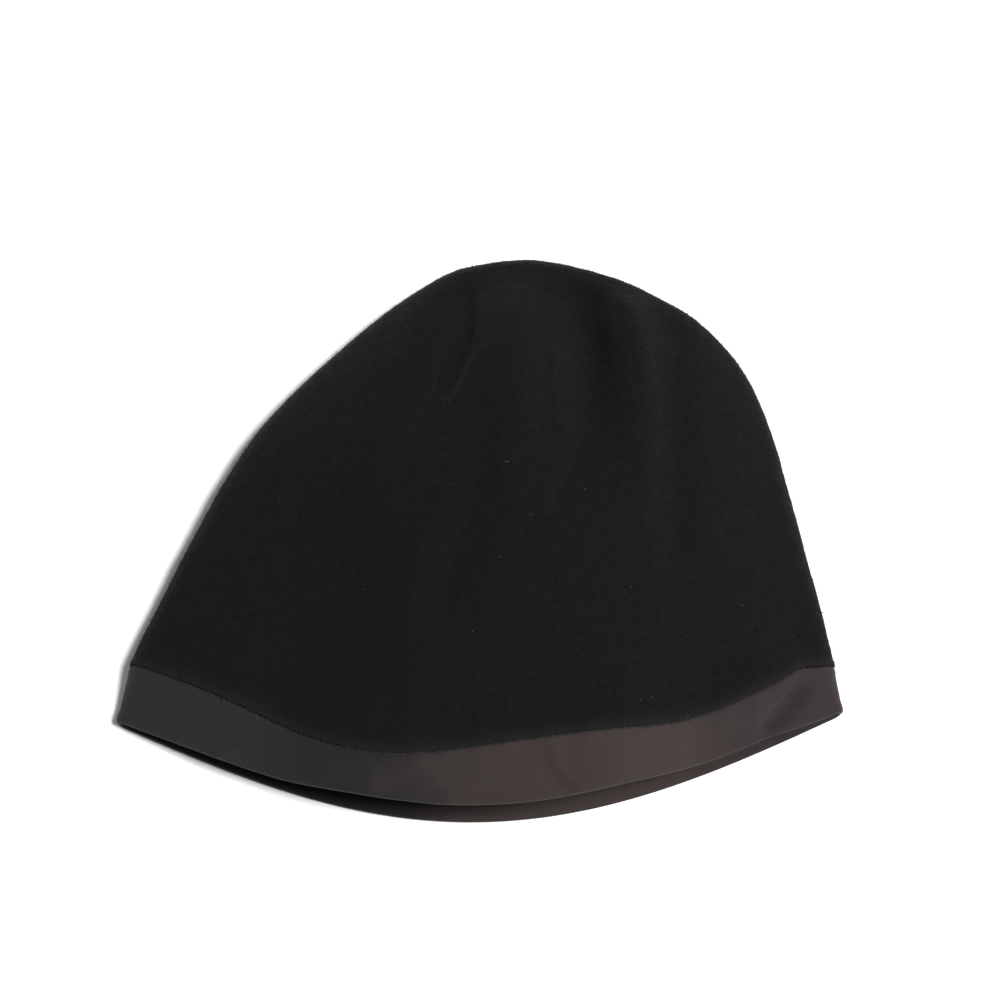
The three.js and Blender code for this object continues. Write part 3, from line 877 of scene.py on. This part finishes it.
def nap_tree():
    """Short fibres that stand on a surface."""
    tree, start, end = new_tree("nap", {"Density": "NodeSocketFloat", **FIBRE_INPUTS})
    outside = add_node(tree, "GeometryNodeInputNamedAttribute", {"Name": "napped"}, data_type="FLOAT")
    by_place = {0: outside.outputs["Attribute"], 1: start["Density"]}
    density = add_node(tree, "ShaderNodeMath", by_place, operation="MULTIPLY").outputs[0]
    spread = {"Mesh": start["Geometry"], "Density": density, "Seed": start["Seed"]}
    points = add_node(tree, "GeometryNodeDistributePointsOnFaces", spread).outputs
    end_with_fibres(tree, start, end, points["Points"], points["Normal"], SHORTEST_NAP)
    return tree


def fringe_tree():
    """Fibres that hang from a path, towards the side where a named direction points."""
    tree, start, end = new_tree("fringe", {"Spacing": "NodeSocketFloat", **FIBRE_INPUTS})
    path = add_node(tree, "GeometryNodeMeshToCurve", {"Mesh": start["Geometry"]})
    steps = {"Curve": path.outputs["Curve"], "Length": start["Spacing"]}
    points = add_node(tree, "GeometryNodeCurveToPoints", steps, mode="LENGTH").outputs["Points"]
    named = {"Name": "hanging"}
    hanging = add_node(tree, "GeometryNodeInputNamedAttribute", named, data_type="FLOAT_VECTOR")
    along = {0: hanging.outputs["Attribute"]}
    down = add_node(tree, "ShaderNodeVectorMath", along, operation="NORMALIZE").outputs[0]
    end_with_fibres(tree, start, end, points, down, SHORTEST_FRINGE)
    return tree


SLANT_WOBBLE = 0.2  # how far a stitch may turn from its slant, in radians


def stitch_tree():
    """Stitches at even steps along a path that carries the direction out of the cloth."""
    inputs = {
        "Spacing": "NodeSocketFloat",
        "Stitch Length": "NodeSocketFloat",
        "Thread Width": "NodeSocketFloat",
        "Slant": "NodeSocketFloat",
        "Seed": "NodeSocketInt",
        "Material": "NodeSocketMaterial",
    }
    tree, start, end = new_tree("stitches", inputs)
    path = add_node(tree, "GeometryNodeMeshToCurve", {"Mesh": start["Geometry"]})
    steps = {"Curve": path.outputs["Curve"], "Length": start["Spacing"]}
    points = add_node(tree, "GeometryNodeCurveToPoints", steps, mode="LENGTH")
    named = {"Name": "outward"}
    outward = add_node(tree, "GeometryNodeInputNamedAttribute", named, data_type="FLOAT_VECTOR")
    along = {"Vector": points.outputs["Tangent"]}
    forward = add_node(tree, "FunctionNodeAlignRotationToVector", along, axis="X")
    upright = {"Rotation": forward.outputs["Rotation"], "Vector": outward.outputs["Attribute"]}
    standing = add_node(tree, "FunctionNodeAlignRotationToVector", upright, axis="Z", pivot_axis="X")
    angle = {0: start["Slant"], 1: random_between(tree, start, -SLANT_WOBBLE, SLANT_WOBBLE)}
    slant = add_node(tree, "ShaderNodeMath", angle, operation="ADD").outputs[0]
    about = {"Axis": (0, 0, 1), "Angle": slant}
    turn = add_node(tree, "FunctionNodeAxisAngleToRotation", about).outputs["Rotation"]
    turned = {"Rotation": standing.outputs["Rotation"], "Rotate By": turn}
    slanted = add_node(tree, "FunctionNodeRotateRotation", turned, rotation_space="LOCAL")
    stitch = add_node(tree, "GeometryNodeMeshUVSphere", {"Segments": 8, "Rings": 6, "Radius": 0.5})
    sides = {"X": start["Stitch Length"], "Y": start["Thread Width"], "Z": start["Thread Width"]}
    size = add_node(tree, "ShaderNodeCombineXYZ", sides).outputs["Vector"]
    placed = {
        "Points": points.outputs["Points"],
        "Instance": stitch.outputs["Mesh"],
        "Rotation": slanted.outputs["Rotation"],
        "Scale": size,
    }
    stitches = add_node(tree, "GeometryNodeInstanceOnPoints", placed)
    end_tree(tree, stitches.outputs["Instances"], start["Material"], end)
    return tree


NAP_DENSITY = 4.4e5  # fibres on a square metre
# The nap fades in between these slopes, so that none grows down into what the hat lies on.
NAP_LIMITS = (-0.35, 0.05)
NAP_SEED = 3
SEAM_SEED = 5
FRINGE_SEED = 7

# Where paths run, in millimetres: rises above the seam and depths inside the fleece's face.
STITCH_RISE = -0.25
STITCH_DEPTH = 0.7
TOPSTITCH_DEPTH = 0.2
FRINGE_RISE = SEAM_CLEARANCE + 0.3
FRINGE_DEPTH = 0.3

# Specks of lint on the front wall: places as shares across and up, lengths in millimetres and directions
# in degrees.
LINT = table("across up length direction", [
    (0.479, 0.539, 1.7, 10),
    (0.616, 0.487, 0.9, 60),
    (0.534, 0.449, 0.7, 120),
    (0.498, 0.379, 0.9, 20),
    (0.702, 0.311, 0.8, 80),
    (0.472, 0.26, 0.7, 45),
    (0.874, 0.239, 0.7, 150),
    (0.776, 0.209, 0.7, 10),
    (0.732, 0.129, 1, 30),
    (0.715, 0.128, 0.8, 100),
    (0.779, 0.085, 0.8, 70),
    (0.301, 0.312, 0.7, 140),
    (0.12, 0.421, 0.8, 35),
])
LINT_WIDTH = 0.2
LINT_LIFT = 0.3  # above the fleece's face, on the nap
LINT_SIDES = 3
# A speck's rings: their places along and aside, as shares of its length, and their share of LINT_WIDTH.
LINT_RINGS = ((-0.5, 0, 0.4), (-0.2, 0.12, 1), (0.2, 0.12, 1), (0.5, -0.05, 0.4))


def nap_fibres(crown, tree, material):
    """The nap that stands out of the crown's outer face."""
    mesh = crown.data.copy()
    outside = np.zeros(len(mesh.vertices), np.float32)
    mesh.attributes["outside"].data.foreach_get("value", outside)
    normals = np.zeros(3 * len(mesh.vertices), np.float32)
    mesh.vertex_normals.foreach_get("vector", normals)
    give_floats(mesh, "napped", outside * smoothstep(normals[2::3], *NAP_LIMITS))
    values = {
        "Density": NAP_DENSITY,
        "Fibre Length": 1.3 * MM,
        "Fibre Radius": 0.09 * MM,
        "Lean": 0.75,
        "Seed": NAP_SEED,
        "Material": material,
    }
    return grown("nap_fibres", mesh, tree, values)


def edge_fringe(tree, material):
    """The loose fibres of the fleece's cut edge, which hang over the band."""
    front = TURNS[TURNS <= 0.5]
    mesh = seam_path("fleece edge", front, FRINGE_RISE, FRINGE_DEPTH)
    up = from_seam(front, SEAM_CLEARANCE)
    give_vectors(mesh, "hanging", smooth_point(up - SLOPE_STEP, front) - smooth_point(up, front))
    values = {
        "Spacing": 0.22 * MM,
        "Fibre Length": 1.7 * MM,
        "Fibre Radius": 0.08 * MM,
        "Lean": 0.6,
        "Seed": FRINGE_SEED,
        "Material": material,
    }
    return grown("edge_fringe", mesh, tree, values)


def seam_path(name, turns, rise, depth):
    """A path along the seam or beside it, with the direction out of the cloth at each point."""
    up = from_seam(turns, rise)
    points = in_frame(wall_point(up, turns, depth, CROWN_RELIEF))
    count = len(turns)
    closing = [(count - 1, 0)] if count == len(TURNS) else []
    mesh = bpy.data.meshes.new(name)
    mesh.from_pydata(points.tolist(), [(k, k + 1) for k in range(count - 1)] + closing, [])
    give_vectors(mesh, "outward", outward_at(up, turns))
    return mesh


def seam_stitches(tree, material):
    """Upright stitches that bind the band to the crown's edge."""
    values = {
        "Spacing": 2.3 * MM,
        "Stitch Length": 1.9 * MM,
        "Thread Width": 0.32 * MM,
        "Slant": math.radians(70),
        "Seed": SEAM_SEED,
        "Material": material,
    }
    path = seam_path("seam", TURNS, STITCH_RISE, STITCH_DEPTH)
    return grown("seam_stitches", path, tree, values)


def turn_of(across, up):
    """The turn of the front wall that lies a share across."""
    front = TURNS[TURNS <= 0.5]
    return np.interp(across, across_at(section_at(up), front), front)


def lint_speck(across, up, length, direction):
    """The rings of one speck: a short bent thread that lies on the nap."""
    level, turn = np.array([up]), np.array([turn_of(across, up)])
    middle = wall_point(level, turn, -LINT_LIFT, CROWN_RELIEF)[0]
    outward = outward_at(level, turn)[0]
    heading = math.radians(direction)
    run = np.cross(np.cross(outward, (math.cos(heading), math.sin(heading), 0)), outward)
    aside = np.cross(outward, run)
    around = [k * math.tau / LINT_SIDES for k in range(LINT_SIDES)]
    corners = [math.cos(side) * aside + math.sin(side) * outward for side in around]
    rings = []
    for along, bent, width in LINT_RINGS:
        centre = middle + length * (along * run + bent * aside)
        rings.append([centre + width * LINT_WIDTH / 2 * corner for corner in corners])
    return rings


def lint(material):
    """Specks of lint on the crown."""
    points, faces = [], []
    for speck in zip(*LINT.values()):
        first = len(points)
        for ring in lint_speck(*speck):
            points += ring
        last = len(points) - LINT_SIDES
        for low in range(first, last, LINT_SIDES):
            high = low + LINT_SIDES
            for k in range(LINT_SIDES):
                beside = (k + 1) % LINT_SIDES
                faces.append((low + k, low + beside, high + beside, high + k))
        faces.append(tuple(reversed(range(first, first + LINT_SIDES))))
        faces.append(tuple(range(last, last + LINT_SIDES)))
    return add_mesh("lint", in_frame(np.array(points)), faces, material)


def topstitching(tree, material):
    """The row of stitches that holds the seam allowance flat, on the crown above the seam."""
    values = {
        "Spacing": 3.1 * MM,
        "Stitch Length": 2.5 * MM,
        "Thread Width": 0.4 * MM,
        "Slant": 0.0,
        "Seed": SEAM_SEED,
        "Material": material,
    }
    path = seam_path("row above the seam", TURNS, STITCHED_LINE["rise"], TOPSTITCH_DEPTH)
    return grown("topstitching", path, tree, values)


# The stage.


FLOOR_REACH = 12  # metres each way


def add_floor():
    """A wide white floor under the hat."""
    corners = FLOOR_REACH * np.array([(-1, -1, 0), (1, -1, 0), (1, 1, 0), (-1, 1, 0)], float)
    corners[:, 2] = CAD_LOW.z
    floor = add_mesh("floor", corners, [(0, 1, 2, 3)], floor_material())


HORIZON = (1.0, 1.0, 1.0)
ZENITH = (0.26, 0.26, 0.26)
ZENITH_START = 0.25  # the sky darkens up to this height of its dome
KEY_FROM = (0.54, -0.09, 0.85)  # the direction that the key light comes from
KEY_BREADTH = 18  # in degrees, as seen from the hat
KEY_STRENGTH = 5.2


def add_key_light():
    """A broad light from the right, far enough away to light the whole floor evenly."""
    data = bpy.data.lights.new("key", "SUN")
    data.angle = math.radians(KEY_BREADTH)
    data.energy = KEY_STRENGTH
    light = bpy.data.objects.new("key", data)
    light.rotation_euler = Vector(KEY_FROM).to_track_quat("Z", "Y").to_euler()
    bpy.context.scene.collection.objects.link(light)


def add_studio():
    """Soft light from the right, and a pale sky that fills the shadows."""
    world = bpy.data.worlds.new("studio")
    world.use_nodes = True
    tree = world.node_tree
    direction = add_node(tree, "ShaderNodeTexCoord").outputs["Generated"]
    height = add_node(tree, "ShaderNodeSeparateXYZ", {"Vector": direction}).outputs["Z"]
    sky = ramp(tree, height, HORIZON, ZENITH, 0, ZENITH_START)
    tree.links.new(sky, tree.nodes["Background"].inputs["Color"])
    bpy.context.scene.world = world
    add_key_light()
    bpy.context.scene.view_settings.view_transform = "Standard"


CAMERA_ELEVATION = 68  # degrees above the surface that the hat lies on
CAMERA_DISTANCE = 0.75  # in metres, from the place that it aims at
CAMERA_AIM = (7.36, 13.5, 0)
CAMERA_LENS = 70
SENSOR_WIDTH = 36


def add_camera():
    """The camera at the photograph's angle."""
    elevation = math.radians(CAMERA_ELEVATION)
    aim = Vector(CAMERA_AIM) * MM
    data = bpy.data.cameras.new("camera")
    data.lens = CAMERA_LENS
    data.sensor_width = SENSOR_WIDTH
    camera = bpy.data.objects.new("camera", data)
    camera.location = aim + CAMERA_DISTANCE * Vector((0, -math.cos(elevation), math.sin(elevation)))
    camera.rotation_euler = (math.pi / 2 - elevation, 0, 0)
    bpy.context.scene.collection.objects.link(camera)
    bpy.context.scene.camera = camera


def build():
    """Every piece, with the body that it rides on."""
    fleece = fleece_material()
    crown = fleece_crown(fleece)
    ride_root(crown, "fleece", "crown")
    ride_root(stretch_band(knit_material()), "band_knit", "rim_band")
    ride_root(nap_fibres(crown, nap_tree(), fleece), "fleece")
    stitches = stitch_tree()
    pale_thread = fibre_material("pale thread", PALE_THREAD)
    ride_root(seam_stitches(stitches, pale_thread), "band_knit")
    loose_fibres = fibre_material("loose fibres", LOOSE_FIBRES)
    ride_root(edge_fringe(fringe_tree(), loose_fibres), "fleece")
    ride_root(lint(fibre_material("lint", PALE_LINT)), "fleece")
    dark_thread = fibre_material("dark thread", DARK_THREAD)
    ride_root(topstitching(stitches, dark_thread), "fleece")


add_camera()
add_floor()
add_studio()
build()
